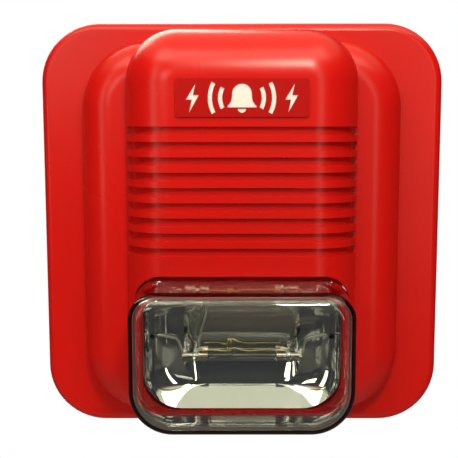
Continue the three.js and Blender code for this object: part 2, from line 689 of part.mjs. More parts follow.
function mountingPlate() {
  const { thickness } = BASE;
  let plate = slab(outlineOf(BASE), [0, thickness]);
  for (const { sign } of mirrored) {
    plate = plate.add(box([sign * 56.4 - 0.8, sign * 56.4 + 0.8], [-38, 38], [thickness - 0.5, 5.5]));
    for (const offset of [-1, 1]) {
      const x = sign * HINGE.x + offset * (HINGE.hook / 2 + FIT + HINGE.lug / 2);
      const span = [x - HINGE.lug / 2, x + HINGE.lug / 2];
      const foot = box(span, [51.5, HINGE.y], [thickness - 0.5, HINGE.z]);
      plate = plate.add(foot).add(bar(HINGE.y, HINGE.z, HINGE.lugRadius, span));
    }
    const pinSpan = [sign * HINGE.x - 6, sign * HINGE.x + 6];
    plate = plate.subtract(bar(HINGE.y, HINGE.z, HINGE.pinRadius + 0.1, pinSpan));
  }

  // Slots for the wall screws, and the opening for the cable.
  const through = [-1, thickness + 1];
  for (const { sign } of mirrored) {
    const upright = { x: sign * 42, halfWidth: 2, bottom: -5, top: 5, corner: 1.9 };
    const level = { halfWidth: 5, bottom: sign * 43 - 2, top: sign * 43 + 2, corner: 1.9 };
    plate = plate.subtract(slab(outlineOf(upright), through)).subtract(slab(outlineOf(level), through));
  }
  plate = plate.subtract(slab(outlineOf({ ...CABLE_ENTRY, corner: 3 }), through));

  // The fork that the locking screw swings into, and the gap for its recess in the cover.
  const fork = box([-6, 6], [LOCK.forkBottom, LOCK.forkTop], [thickness - 0.5, 7.6])
    .subtract(box([-1.8, 1.8], [LOCK.forkBottom - 1, LOCK.forkTop + 1], [LOCK.z - 1.8, 9]));
  return plate.subtract(box([-5.2, 5.2], [BASE.bottom - 1, LOCK.forkBottom], through)).add(fork);
}

place('mounting_plate', mountingPlate(), plastic('#9f1b16', 0.55));

for (const { side, sign } of mirrored) {
  const half = HINGE.hook / 2 + FIT + HINGE.lug;
  place(`hinge_pin_${side}`, bar(0, 0, HINGE.pinRadius, [-half, half]), steel(),
    [sign * HINGE.x, HINGE.y, HINGE.z]);
}

// ---------------------------------------------------------------- terminals on the mounting plate

const WELL = { radius: 2.4, floor: 3.4 };
const CLAMP = { z: 5.6, thickness: 0.7, radius: 2.05 };

function terminalBlock() {
  const { count, pitch, y, bottom, top, back, front } = TERMINAL;
  const half = (count * pitch) / 2 + 1;
  let block = box([-half, half], [bottom, top], [back, front]);
  for (const x of rowOf(count, pitch)) {
    block = block.subtract(post(x, y, WELL.radius, [WELL.floor, front + 1]));
    block = block.subtract(box([x - 1.8, x + 1.8], [bottom - 1, y], [WELL.floor, 7]));
    block = block.subtract(box([x - 1.7, x + 1.7], [y + 3.6, top + 1], [back - 1, 3.3]));
  }
  return block;
}

place('terminal_block', terminalBlock(), plastic('#2f6e4a', 0.5));

for (const [index, x] of rowOf(TERMINAL.count, TERMINAL.pitch).entries()) {
  const washer = post(0, 0, CLAMP.radius, [0, CLAMP.thickness], 16)
    .subtract(post(0, 0, 1.3, [-1, CLAMP.thickness + 1], 16));
  place(`terminal_clamp_${index + 1}`, washer, steel(), [x, TERMINAL.y, CLAMP.z]);

  const screwZ = CLAMP.z + CLAMP.thickness + TOUCH;
  place(`terminal_screw_${index + 1}`, panScrew(1.9, 1.7, 1, 2.3), steel(), [x, TERMINAL.y, screwZ]);
}

// ---------------------------------------------------------------- locking screw, washer and nut

const headFace = -58.9; // where the screw head bears on its washer

place('locking_screw', panScrew(LOCK.head, 1.5, LOCK.shank, 9.3), steel(), [0, headFace, LOCK.z], headDown);
place(
  'lock_washer',
  column(0, 0, LOCK.head, [0, 0.4]).subtract(column(0, 0, LOCK.shank + 0.1, [-1, 2])),
  steel(),
  [0, headFace + TOUCH, LOCK.z],
);

const nut = box([-NUT.half, NUT.half], [NUT.bottom, NUT.top], [LOCK.z - 1.9, LOCK.z + 2.8])
  .subtract(column(0, LOCK.z, LOCK.shank + 0.1, [NUT.bottom - 1, NUT.top + 1]));
place('lock_nut', nut, steel());

// ---------------------------------------------------------------- stood up on the wall

frontView.rotation.x = Math.PI / 2;

const hornStrobe = new THREE.Group();
hornStrobe.add(frontView);

export default hornStrobe;
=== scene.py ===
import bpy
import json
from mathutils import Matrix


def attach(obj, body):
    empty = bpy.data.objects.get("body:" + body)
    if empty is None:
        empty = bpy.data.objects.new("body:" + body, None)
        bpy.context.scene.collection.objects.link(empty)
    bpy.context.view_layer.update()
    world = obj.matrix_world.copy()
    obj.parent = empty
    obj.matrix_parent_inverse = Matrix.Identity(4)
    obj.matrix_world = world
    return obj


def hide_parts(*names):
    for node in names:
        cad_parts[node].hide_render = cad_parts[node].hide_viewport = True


bl_info = {
    "name": "Horn Strobe",
    "version": (1, 0, 0),
    "blender": (4, 5, 0),
    "location": "View3D > Sidebar > Horn Strobe",
    "description": "Models and finishes a red wall horn strobe on its packed frame",
    "category": "Object",
}

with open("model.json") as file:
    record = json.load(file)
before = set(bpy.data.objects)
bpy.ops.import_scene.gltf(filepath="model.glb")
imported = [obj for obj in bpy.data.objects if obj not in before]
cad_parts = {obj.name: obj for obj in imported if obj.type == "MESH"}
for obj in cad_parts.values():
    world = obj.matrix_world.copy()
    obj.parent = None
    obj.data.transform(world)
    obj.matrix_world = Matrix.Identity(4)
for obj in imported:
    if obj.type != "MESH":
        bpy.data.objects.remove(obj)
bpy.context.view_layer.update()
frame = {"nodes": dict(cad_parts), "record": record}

import json
import math
from collections import namedtuple

import bmesh
import bpy
from mathutils import Vector

MM = 0.001
NEAR = 1e-6  # metres within which two places count as one


# ---------------- properties

def length(name, description, default, scale=MM):
    """A length that a user can change, given in millimetres unless scale says otherwise."""
    return bpy.props.FloatProperty(
        name=name, description=description, default=default * scale, unit="LENGTH")


def tint(name, description, default):
    return bpy.props.FloatVectorProperty(
        name=name, description=description, subtype="COLOR", size=3, default=default, min=0.0, max=1.0)


class CoverProperties(bpy.types.PropertyGroup):
    wall: length("Wall", "Wall of the moulded cover", 2.2)
    edge: length("Edge", "Small radius on the moulded edges", 0.25)
    groove_pitch: length("Groove pitch", "From one sound groove to the next", 4.24)
    groove_height: length("Groove height", "Height of a sound groove", 2.35)
    groove_depth: length("Groove depth", "Depth of a sound groove", 1.35)
    groove_top: length("Top groove", "Height of the top groove's middle", 29.2)
    groove_count: bpy.props.IntProperty(
        name="Grooves", description="Number of sound grooves", default=9, min=1)
    color: tint("Colour", "Red of the cover", (0.70, 0.006, 0.003))


class StrobeProperties(bpy.types.PropertyGroup):
    lens_wall: length("Lens wall", "Thickness of the clear lens", 1.9)
    lens_slope: length("Lens slope", "How far the top of the lens falls towards its front", 2.2)
    bowl_rim: length("Bowl rim", "Depth of the bevelled flats of the reflector", 5.6)
    bowl_trough: length("Bowl trough", "Depth of the trough behind the flats", 2.7)
    bowl_end: length("Bowl ends", "How far the dished ends reach in", 11)


class StageProperties(bpy.types.PropertyGroup):
    camera_distance: length("Camera distance", "From the wall to the camera", 302)
    camera_height: length("Camera height", "Of the camera above the middle of the plate", 31.3)
    camera_tilt: bpy.props.FloatProperty(
        name="Camera tilt", description="How far the camera looks down",
        default=math.radians(7.8), unit="ROTATION")
    focal_length: bpy.props.FloatProperty(
        name="Focal length", description="Of the camera, in millimetres", default=75.85)
    floor_drop: length("Floor", "How far the floor lies under the plate's middle", 300)
    light_color: tint("Light colour", "Warm white of the softboxes", (1.0, 0.96, 0.76))


# ---------------- shared effects

def add_group(name, inputs, outputs):
    """A node group with named inputs, each with its default, and named outputs."""
    group = bpy.data.node_groups.new(name, "ShaderNodeTree")
    for label, kind, default in inputs:
        socket = group.interface.new_socket(name=label, in_out="INPUT", socket_type=kind)
        if default is not None:
            socket.default_value = default
    for label, kind in outputs:
        group.interface.new_socket(name=label, in_out="OUTPUT", socket_type=kind)
    source = group.nodes.new("NodeGroupInput")
    sink = group.nodes.new("NodeGroupOutput")
    return group, source, sink


def set_inputs(node, **values):
    """Sets the values of a node's inputs; an underscore stands for a space in an input's name."""
    for label, value in values.items():
        node.inputs[label.replace("_", " ")].default_value = value


def math_node(tree, operation, first, second):
    node = tree.nodes.new("ShaderNodeMath")
    node.operation = operation
    for socket, value in zip(node.inputs, (first, second)):
        if isinstance(value, (int, float)):
            socket.default_value = value
        else:
            tree.links.new(value, socket)
    return node.outputs["Value"]


def noise_node(tree, vector, scale, detail=2.0, roughness=0.5):
    node = tree.nodes.new("ShaderNodeTexNoise")
    set_inputs(node, Detail=detail, Roughness=roughness)
    tree.links.new(vector, node.inputs["Vector"])
    if isinstance(scale, (int, float)):
        node.inputs["Scale"].default_value = scale
    else:
        tree.links.new(scale, node.inputs["Scale"])
    return node.outputs["Fac"]


FINE_GRAIN = 2600.0
WAVE_SCALE = 55.0
STREAK_FLOOR = 0.62
STREAK_GAIN = 6.0


def make_moulded_grain():
    """The fine spark-eroded texture of moulded plastic, with slow waves under it."""
    group, source, sink = add_group(
        "Moulded Grain",
        [("Vector", "NodeSocketVector", None), ("Grain Scale", "NodeSocketFloat", FINE_GRAIN),
         ("Grain Depth", "NodeSocketFloat", 1.0), ("Wave Depth", "NodeSocketFloat", 0.6)],
        [("Height", "NodeSocketFloat"), ("Grain", "NodeSocketFloat")])
    grain = noise_node(group, source.outputs["Vector"], source.outputs["Grain Scale"], 2.0, 0.6)
    waves = noise_node(group, source.outputs["Vector"], WAVE_SCALE, 1.0)
    fine = math_node(group, "MULTIPLY", grain, source.outputs["Grain Depth"])
    slow = math_node(group, "MULTIPLY", waves, source.outputs["Wave Depth"])
    group.links.new(math_node(group, "ADD", fine, slow), sink.inputs["Height"])
    group.links.new(grain, sink.inputs["Grain"])


def make_tone_drift():
    """Cloudy differences of tone across a surface, and thin rubbed streaks."""
    group, source, sink = add_group(
        "Tone Drift",
        [("Vector", "NodeSocketVector", None), ("Cloud Scale", "NodeSocketFloat", 22.0),
         ("Streak Scale", "NodeSocketFloat", 300.0)],
        [("Cloud", "NodeSocketFloat"), ("Streak", "NodeSocketFloat")])
    cloud = noise_node(group, source.outputs["Vector"], source.outputs["Cloud Scale"], 3.0)
    stretch = group.nodes.new("ShaderNodeMapping")
    set_inputs(stretch, Scale=(1.0, 1.0, 0.06), Rotation=(0.3, 0.9, 0.4))
    group.links.new(source.outputs["Vector"], stretch.inputs["Vector"])
    streak = noise_node(group, stretch.outputs["Vector"], source.outputs["Streak Scale"], 1.0)
    above = math_node(group, "SUBTRACT", streak, STREAK_FLOOR)
    sharp = math_node(group, "MULTIPLY", above, STREAK_GAIN)
    group.links.new(cloud, sink.inputs["Cloud"])
    group.links.new(math_node(group, "MAXIMUM", sharp, 0.0), sink.inputs["Streak"])


def make_brushed_lines():
    """Drawn or plated metal: fine parallel lines and soft stains."""
    group, source, sink = add_group(
        "Brushed Lines",
        [("Vector", "NodeSocketVector", None), ("Stretch", "NodeSocketVector", (1.0, 1.0, 0.05))],
        [("Lines", "NodeSocketFloat"), ("Stain", "NodeSocketFloat")])
    mapping = group.nodes.new("ShaderNodeMapping")
    group.links.new(source.outputs["Vector"], mapping.inputs["Vector"])
    group.links.new(source.outputs["Stretch"], mapping.inputs["Scale"])
    lines = noise_node(group, mapping.outputs["Vector"], 3500.0, 2.0)
    stain = noise_node(group, source.outputs["Vector"], 260.0, 3.0)
    group.links.new(lines, sink.inputs["Lines"])
    group.links.new(stain, sink.inputs["Stain"])


# ---------------- finishes

NOISE_RANGE = (0.3, 0.7)
GLOSS_DRIFT = 0.03  # how far roughness wanders to either side
RUB_GLOSS = 0.012  # how much smoother a rubbed streak is
MIRROR_ROUGHNESS = (0.03, 0.07)
RIPPLE_SCALE = 90.0


def new_finish(name):
    """A material with its tree, its shader and its own coordinates; it takes over its slot's name."""
    plain = bpy.data.materials.get(name)
    if plain:
        plain.name = name + "_plain"
    material = bpy.data.materials.new(name)
    material.use_nodes = True
    tree = material.node_tree
    shader = tree.nodes["Principled BSDF"]
    place = tree.nodes.new("ShaderNodeTexCoord").outputs["Object"]
    return tree, shader, place


def add_effect(tree, group_name, place, **values):
    node = tree.nodes.new("ShaderNodeGroup")
    node.node_tree = bpy.data.node_groups[group_name]
    tree.links.new(place, node.inputs["Vector"])
    set_inputs(node, **values)
    return node.outputs


def blend_colors(tree, amount, first, second):
    mix = tree.nodes.new("ShaderNodeMix")
    mix.data_type = "RGBA"
    tree.links.new(amount, mix.inputs["Factor"])
    for socket, value in ((mix.inputs[6], first), (mix.inputs[7], second)):
        if isinstance(value, tuple):
            socket.default_value = (*value[:3], 1.0)
        else:
            tree.links.new(value, socket)
    return mix.outputs[2]


def spread(tree, value, low, high):
    """Maps the usual range of a noise onto low to high."""
    node = tree.nodes.new("ShaderNodeMapRange")
    set_inputs(node, From_Min=NOISE_RANGE[0], From_Max=NOISE_RANGE[1], To_Min=low, To_Max=high)
    tree.links.new(value, node.inputs["Value"])
    return node.outputs["Result"]


def add_bump(tree, shader, height, distance, strength=1.0):
    bump = tree.nodes.new("ShaderNodeBump")
    set_inputs(bump, Distance=distance, Strength=strength)
    tree.links.new(height, bump.inputs["Height"])
    tree.links.new(bump.outputs["Normal"], shader.inputs["Normal"])


def paint(tree, shader, amount, light, dark):
    """Base colour between two close tones, by a noise."""
    tree.links.new(
        blend_colors(tree, spread(tree, amount, 0.0, 1.0), light, dark), shader.inputs["Base Color"])


def moulded_plastic(name, light, dark, roughness, grain=FINE_GRAIN, depth=0.00002, specular=0.5):
    """Moulded plastic of two close tones, with grain and faint rub marks."""
    tree, shader, place = new_finish(name)
    drift = add_effect(tree, "Tone Drift", place)
    texture = add_effect(tree, "Moulded Grain", place, Grain_Scale=grain)
    paint(tree, shader, drift["Cloud"], light, dark)
    uneven = math_node(tree, "ADD", spread(tree, drift["Cloud"], -GLOSS_DRIFT, GLOSS_DRIFT), roughness)
    gloss = math_node(tree, "MULTIPLY", drift["Streak"], RUB_GLOSS)
    rubbed = math_node(tree, "SUBTRACT", uneven, gloss)
    tree.links.new(rubbed, shader.inputs["Roughness"])
    shader.inputs["Specular IOR Level"].default_value = specular
    add_bump(tree, shader, texture["Height"], depth)


def metal(name, light, dark, roughness, stretch=(1.0, 1.0, 0.05), depth=0.000004):
    tree, shader, place = new_finish(name)
    lines = add_effect(tree, "Brushed Lines", place, Stretch=stretch)
    paint(tree, shader, lines["Stain"], light, dark)
    tree.links.new(
        spread(tree, lines["Lines"], roughness * 0.8, roughness * 1.3), shader.inputs["Roughness"])
    shader.inputs["Metallic"].default_value = 1.0
    add_bump(tree, shader, lines["Lines"], depth)


def mirror_chrome(name):
    """Vacuum-plated mirror: almost clean, with slow ripples of the moulding under it."""
    tree, shader, place = new_finish(name)
    drift = add_effect(tree, "Tone Drift", place, Cloud_Scale=120.0)
    paint(tree, shader, drift["Cloud"], (0.86, 0.86, 0.83), (0.80, 0.80, 0.78))
    tree.links.new(spread(tree, drift["Cloud"], *MIRROR_ROUGHNESS), shader.inputs["Roughness"])
    shader.inputs["Metallic"].default_value = 1.0
    add_bump(tree, shader, noise_node(tree, place, RIPPLE_SCALE, 1.0), 0.00015, 0.5)


def clear_glass(name, color, ior):
    """Clear moulded or drawn glass, with slightly uneven gloss."""
    tree, shader, place = new_finish(name)
    drift = add_effect(tree, "Tone Drift", place, Cloud_Scale=60.0)
    tree.links.new(spread(tree, drift["Cloud"], 0.0, 0.02), shader.inputs["Roughness"])
    paint(tree, shader, drift["Cloud"], color, tuple(value * 0.97 for value in color))
    set_inputs(shader, IOR=ior, Transmission_Weight=1.0)


def circuit_laminate(name):
    """Green solder mask over copper tracks."""
    tree, shader, place = new_finish(name)
    tracks = tree.nodes.new("ShaderNodeTexBrick")
    set_inputs(tracks, Scale=260.0, Mortar_Size=0.035)
    turned = tree.nodes.new("ShaderNodeMapping")
    set_inputs(turned, Rotation=(math.pi / 2, 0.0, 0.0))
    tree.links.new(place, turned.inputs["Vector"])
    tree.links.new(turned.outputs["Vector"], tracks.inputs["Vector"])
    tree.links.new(
        blend_colors(tree, tracks.outputs["Fac"], (0.012, 0.13, 0.045), (0.035, 0.24, 0.09)),
        shader.inputs["Base Color"])
    shader.inputs["Roughness"].default_value = 0.28
    add_bump(tree, shader, tracks.outputs["Fac"], 0.00003)


# Lighter tone, darker tone, roughness, and then the grain, its depth in metres and the specular
# level, where these differ from plain moulded plastic.
PLASTICS = {
    "dark_red_base": ((0.33, 0.008, 0.006), (0.28, 0.006, 0.005), 0.5),
    "label_dark_red": ((0.50, 0.003, 0.002), (0.45, 0.003, 0.002), 0.3, 5200.0, 0.000006, 0.35),
    "white_print": ((0.93, 0.89, 0.86), (0.87, 0.83, 0.80), 0.45, 5200.0, 0.000008),
    "seal_rubber": ((0.02, 0.02, 0.022), (0.012, 0.012, 0.013), 0.7, 1800.0, 0.00003),
    "black_plastic": ((0.02, 0.02, 0.022), (0.012, 0.012, 0.014), 0.4),
    "capacitor_sleeve": ((0.015, 0.02, 0.04), (0.01, 0.012, 0.02), 0.22, 1500.0, 0.00001),
    "coil_yellow": ((0.55, 0.36, 0.06), (0.40, 0.25, 0.04), 0.35, 1200.0, 0.00003),
    "foam": ((0.035, 0.035, 0.037), (0.015, 0.015, 0.016), 0.9, 1400.0, 0.0001),
    "dip_blue": ((0.03, 0.10, 0.42), (0.02, 0.07, 0.34), 0.4),
    "dip_white": ((0.84, 0.83, 0.79), (0.76, 0.75, 0.71), 0.4),
    "terminal_green": ((0.03, 0.20, 0.08), (0.02, 0.15, 0.06), 0.45),
    "lead_wire": ((0.42, 0.42, 0.38), (0.30, 0.30, 0.27), 0.25, 1500.0, 0.00001),
}
# Lighter tone, darker tone, roughness, and how the drawn lines are stretched.
METALS = {
    "cap_metal": ((0.62, 0.58, 0.52), (0.36, 0.32, 0.27), 0.28, (0.05, 1.0, 1.0)),
    "gold_wire": ((0.80, 0.66, 0.28), (0.62, 0.46, 0.16), 0.3, (0.05, 1.0, 1.0)),
    "brass": ((0.75, 0.55, 0.24), (0.58, 0.40, 0.16), 0.3),
    "steel": ((0.66, 0.67, 0.68), (0.48, 0.48, 0.49), 0.32),
}


def make_finishes():
    """One material for each slot of the record, given to every node that it names."""
    make_moulded_grain()
    make_tone_drift()
    make_brushed_lines()
    red = tuple(bpy.context.scene.horn_cover.color)
    moulded_plastic("red_cover", red, tuple(value * 0.9 for value in red), 0.29, specular=0.42)
    for make, table in ((moulded_plastic, PLASTICS), (metal, METALS)):
        for name, values in table.items():
            make(name, *values)
    mirror_chrome("mirror_chrome")
    clear_glass("clear_lens", (0.95, 0.97, 0.96), 1.49)
    clear_glass("tube_glass", (0.97, 0.98, 0.98), 1.47)
    circuit_laminate("board_green")
    for entry in frame["record"]["subparts"]:
        node = frame["nodes"][entry["node"]]
        node.data.materials.clear()
        node.data.materials.append(bpy.data.materials[entry["material_slot"]])


# ---------------- modelling helpers

def deselect():
    """Leaves object mode and selects nothing."""
    if bpy.context.object and bpy.context.object.mode != "OBJECT":
        bpy.ops.object.mode_set(mode="OBJECT")
    bpy.ops.object.select_all(action="DESELECT")


def make_active(piece):
    deselect()
    piece.select_set(True)
    bpy.context.view_layer.objects.active = piece


def start_edit(piece):
    make_active(piece)
    bpy.ops.object.mode_set(mode="EDIT")


def turn_outwards():
    """In edit mode: points every face outwards, then goes back to object mode."""
    bpy.ops.mesh.select_all(action="SELECT")
    bpy.ops.mesh.normals_make_consistent(inside=False)
    bpy.ops.object.mode_set(mode="OBJECT")


def settle(name):
    """Names the newest piece and moves its place, turn and size into its mesh."""
    piece = bpy.context.object
    piece.name = name
    piece.data.name = name
    make_active(piece)
    bpy.ops.object.transform_apply(location=True, rotation=True, scale=True)
    return piece


def add_box(name, x_span, out_span, z_span):
    """A box, in millimetres; out_span is measured out of the wall."""
    deselect()
    center = ((x_span[0] + x_span[1]) / 2, -(out_span[0] + out_span[1]) / 2, (z_span[0] + z_span[1]) / 2)
    bpy.ops.mesh.primitive_cube_add(size=1, location=[value * MM for value in center])
    bpy.context.object.scale = (
        (x_span[1] - x_span[0]) * MM, (out_span[1] - out_span[0]) * MM, (z_span[1] - z_span[0]) * MM)
    return settle(name)


def add_cylinder(name, center, radius, length, axis="Y", sides=48):
    """A cylinder about X, Y or Z, in millimetres; center holds x, the way out of the wall, and z."""
    deselect()
    turn = {"X": (0, math.pi / 2, 0), "Y": (math.pi / 2, 0, 0), "Z": (0, 0, 0)}[axis]
    bpy.ops.mesh.primitive_cylinder_add(
        vertices=sides, radius=radius * MM, depth=length * MM,
        location=(center[0] * MM, -center[1] * MM, center[2] * MM), rotation=turn)
    return settle(name)


def add_prism(name, corners, out_span):
    """A flat outline of x and z corners, in millimetres, pushed out of the wall over out_span."""
    deselect()
    bpy.ops.mesh.primitive_circle_add(vertices=len(corners), radius=MM, fill_type="NGON")
    piece = settle(name)
    bpy.ops.object.mode_set(mode="EDIT")
    mesh = bmesh.from_edit_mesh(piece.data)
    mesh.verts.ensure_lookup_table()
    for vertex, (x, z) in zip(mesh.verts, corners):
        vertex.co = (x * MM, -out_span[0] * MM, z * MM)
    bmesh.update_edit_mesh(piece.data)
    bpy.ops.mesh.select_all(action="SELECT")
    bpy.ops.mesh.extrude_region_move(
        TRANSFORM_OT_translate={"value": (0, (out_span[0] - out_span[1]) * MM, 0)})
    turn_outwards()
    return piece


def arc_corners(center, radius, first, last, steps=16):
    """Corners along an arc, from the angle first to the angle last."""
    turns = [first + (last - first) * step / steps for step in range(steps + 1)]
    return [(center[0] + radius * math.cos(turn), center[1] + radius * math.sin(turn)) for turn in turns]


def add_wire(name, points, radius, sides=12):
    """A round wire on a smooth curve through points of x, the way out of the wall, and z."""
    deselect()
    bpy.ops.curve.primitive_nurbs_path_add()
    path = bpy.context.object
    path.data.splines.clear()
    spline = path.data.splines.new("BEZIER")
    spline.bezier_points.add(len(points) - 1)
    for knot, (x, out, z) in zip(spline.bezier_points, points):
        knot.co = (x * MM, -out * MM, z * MM)
        knot.handle_left_type = "AUTO"
        knot.handle_right_type = "AUTO"
    path.data.dimensions = "3D"
    path.data.resolution_u = 8
    path.data.bevel_depth = radius * MM
    path.data.bevel_resolution = sides // 4
    path.data.use_fill_caps = True
    bpy.ops.object.convert(target="MESH")
    wire = settle(name)
    bpy.ops.object.mode_set(mode="EDIT")
    bpy.ops.mesh.select_all(action="SELECT")
    bpy.ops.mesh.remove_doubles(threshold=NEAR)
    turn_outwards()
    smooth(wire, 50)
    return wire


def copy_piece(piece, name):
    """A copy with its own mesh, made active."""
    twin = piece.copy()
    twin.data = piece.data.copy()
    bpy.context.scene.collection.objects.link(twin)
    twin.name = name
    twin.data.name = name
    make_active(twin)
    return twin


def lies_at(part, out):
    """Whether an edge or a face lies out millimetres from the wall."""
    return all(abs(vertex.co.y + out * MM) < NEAR for vertex in part.verts)


def bevel_where(piece, chosen, width, segments):
    """Rounds the edges that chosen picks, in edit mode."""
    start_edit(piece)
    bpy.ops.mesh.select_mode(type="EDGE")
    bpy.ops.mesh.select_all(action="DESELECT")
    mesh = bmesh.from_edit_mesh(piece.data)
    for edge in mesh.edges:
        edge.select = chosen(edge)
    bmesh.update_edit_mesh(piece.data)
    bpy.ops.mesh.bevel(
        offset=width * MM, segments=segments, profile=0.5, affect="EDGES", clamp_overlap=False)
    bpy.ops.object.mode_set(mode="OBJECT")


def add_block(name, outline, out_span, roll=0, inset=0, corner_segments=14, roll_segments=12):
    """A block with round corners, its front edge rolled over, shrunk by inset except at the back."""
    half = outline.half_width - inset
    bottom = outline.bottom + inset
    top = outline.top - inset
    front = out_span[1] - inset
    piece = add_box(name, (-half, half), (out_span[0], front), (bottom, top))
    middle = (bottom + top) / 2 * MM
    for corner, is_lower in ((outline.lower_corner, True), (outline.upper_corner, False)):
        def runs_outwards(edge, is_lower=is_lower):
            first, last = (vertex.co for vertex in edge.verts)
            straight = abs(first.x - last.x) < NEAR and abs(first.z - last.z) < NEAR
            return straight and (first.z < middle) == is_lower and abs(abs(first.x) - half * MM) < NEAR
        bevel_where(piece, runs_outwards, max(corner - inset, 0.5), corner_segments)
    if roll:
        bevel_where(piece, lambda edge: lies_at(edge, front), roll - inset, roll_segments)
    return piece


def join_pieces(pieces, name):
    make_active(pieces[0])
    for piece in pieces:
        piece.select_set(True)
    bpy.ops.object.join()
    bpy.context.object.name = name
    return bpy.context.object


def combine(piece, tool, operation):
    """Joins tool to piece, cuts it away or keeps what they share, and removes tool."""
    modifier = piece.modifiers.new("combine", "BOOLEAN")
    modifier.operation = operation
    modifier.solver = "EXACT"
    modifier.object = tool
    make_active(piece)
    bpy.ops.object.modifier_apply(modifier=modifier.name)
    bpy.data.objects.remove(tool)
    return piece


def cut(piece, tool):
    return combine(piece, tool, "DIFFERENCE")


def unite(piece, tool):
    return combine(piece, tool, "UNION")


def soften(piece, width, segments=2, angle=35, smooth_angle=40):
    """Rounds every sharp edge a little and smooths the shading."""
    make_active(piece)
    bevel = piece.modifiers.new("soft_edges", "BEVEL")
    bevel.width = width * MM
    bevel.segments = segments
    bevel.limit_method = "ANGLE"
    bevel.angle_limit = math.radians(angle)
    bpy.ops.object.modifier_apply(modifier=bevel.name)
    smooth(piece, smooth_angle)


def smooth(piece, angle):
    """Smooth shading, with sharp edges kept where faces meet at more than angle, in degrees."""
    make_active(piece)
    bpy.ops.object.shade_smooth_by_angle(angle=math.radians(angle))
    weighted = piece.modifiers.new("even_normals", "WEIGHTED_NORMAL")
    weighted.keep_sharp = True
    bpy.ops.object.modifier_apply(modifier=weighted.name)


replaced_nodes = set()


def finish_piece(piece, material_name, body, *nodes):
    """Paints a piece and ties it to the frame."""
    piece.data.materials.clear()
    piece.data.materials.append(bpy.data.materials[material_name])
    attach(piece, body)
    if nodes:
        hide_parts(*nodes)
        replaced_nodes.update(nodes)


# ---------------- front cover

# Half width, bottom, top, and the radius of the lower and the upper corners, in millimetres.
Outline = namedtuple("Outline", "half_width bottom top lower_corner upper_corner")
PLATE = Outline(60, -60.75, 60.75, 17.5, 17.5)
SHOULDER = Outline(47.3, -56.3, 55, 19, 19)
TOWER = Outline(33.4, -55.5, 57.8, 15, 15)
LENS = Outline(30.7, -52.5, -11.8, 12, 8)
PLATE_FRONT, PLATE_ROLL = 10, 2.5
SHOULDER_FRONT, SHOULDER_ROLL = 20.5, 9.5
TOWER_FRONT, TOWER_ROLL = 34, 13.7
LENS_FRONT, LENS_ROLL = 52.5, 4.2
LENS_SEAT = 27
LENS_GAP = 0.3
TIER_BACK = 4  # the upper tiers start inside the plate
RIM_INSET = 2.1  # from the outside of the lens to the rim inside its wall
OPENING_INSET = 2.6  # from the outside of the lens to the opening for the reflector
MOUTH_FRONT = 33.6  # of the reflector
SOUNDER_FRONT = 30.2
SLIT_HALF, SLIT_HEIGHT = 13, 0.2
SLIT_GROOVES = range(2, 7)
LOCK_OUT, LOCK_BOTTOM = 5.2, -60.3
BOSS_X, BOSS_RISE = 38, (-42, 40)
HINGE_X, HINGE_OUT, HINGE_Z = 22, 5.2, 55.3
PIN_RADIUS = 1
SADDLE_RADIUS = PIN_RADIUS + 0.15
LUG_RADIUS, LUG_HALF, LUG_SPREAD = 2.2, 0.9, 2.6


class HORN_OT_cover(bpy.types.Operator):
    """Moulds the three-tier cover with its grooves, sound slits and lens seat"""
    bl_idname = "horn.cover"
    bl_label = "Front cover"

    def execute(self, context):
        sizes = context.scene.horn_cover
        wall = sizes.wall / MM
        cover = add_tiers("front_cover_shell", 0)
        hollow = add_tiers("cover_hollow", wall)
        cut(cover, hollow)
        unite(cover, lens_seat_ring())
        cut(cover, lens_core("aperture", (LENS_SEAT - 3, TOWER_FRONT + 4)))
        cut(cover, lens_channel())
        cut(cover, groove_cutter(sizes))
        cut(cover, slit_cutter(sizes))
        cut(cover, add_box("top_relief", (-70, 70), (-1, 2.6), (54.7, 70)))
        add_lock_recess(cover)
        add_cover_bosses(cover)
        add_hinge_hooks(cover)
        soften(cover, sizes.edge / MM)
        finish_piece(cover, "red_cover", "head", "front_cover")
        return {"FINISHED"}


def add_tiers(name, inset):
    """The plate, shoulder and tower of the cover as one block; inset makes the hollow inside."""
    back = 1 if inset == 0 else -1
    piece = add_block(name, PLATE, (back, PLATE_FRONT), 0 if inset else PLATE_ROLL, inset)
    shoulder = add_block("shoulder_block", SHOULDER, (TIER_BACK, SHOULDER_FRONT), SHOULDER_ROLL, inset)
    unite(piece, shoulder)
    return unite(piece, tower_block("tower_block", inset))


def tower_block(name, inset):
    return add_block(name, TOWER, (TIER_BACK, TOWER_FRONT), TOWER_ROLL, inset)


def lens_core(name, out_span):
    """The opening inside the lens, as a block."""
    return add_block(name, LENS, out_span, inset=OPENING_INSET)


def lens_seat_ring():
    """The ledge that the lens stands on, and the thin rim inside its wall."""
    ring = add_block("seat_ring", LENS, (LENS_SEAT - 2, TOWER_FRONT), inset=-1)
    cut(ring, lens_core("ring_hole", (LENS_SEAT - 4, TOWER_FRONT + 4)))
    combine(ring, tower_block("tower_limit", 0.02), "INTERSECT")
    rim = add_block("seat_rim", LENS, (LENS_SEAT - 1, TOWER_FRONT + 2.1), inset=RIM_INSET)
    cut(rim, lens_core("rim_hole", (LENS_SEAT - 4, TOWER_FRONT + 6)))
    cut(rim, add_box("rim_top_gap", (-25.5, 25.5), (MOUTH_FRONT - 0.6, 40), (-16, -12)))
    return unite(ring, rim)


def lens_channel():
    """The channel that takes the foot of the lens wall."""
    channel = add_block("lens_channel", LENS, (LENS_SEAT, TOWER_FRONT + 1), inset=-LENS_GAP)
    core = add_block("channel_core", LENS, (LENS_SEAT - 2, TOWER_FRONT + 6), inset=RIM_INSET)
    return cut(channel, core)


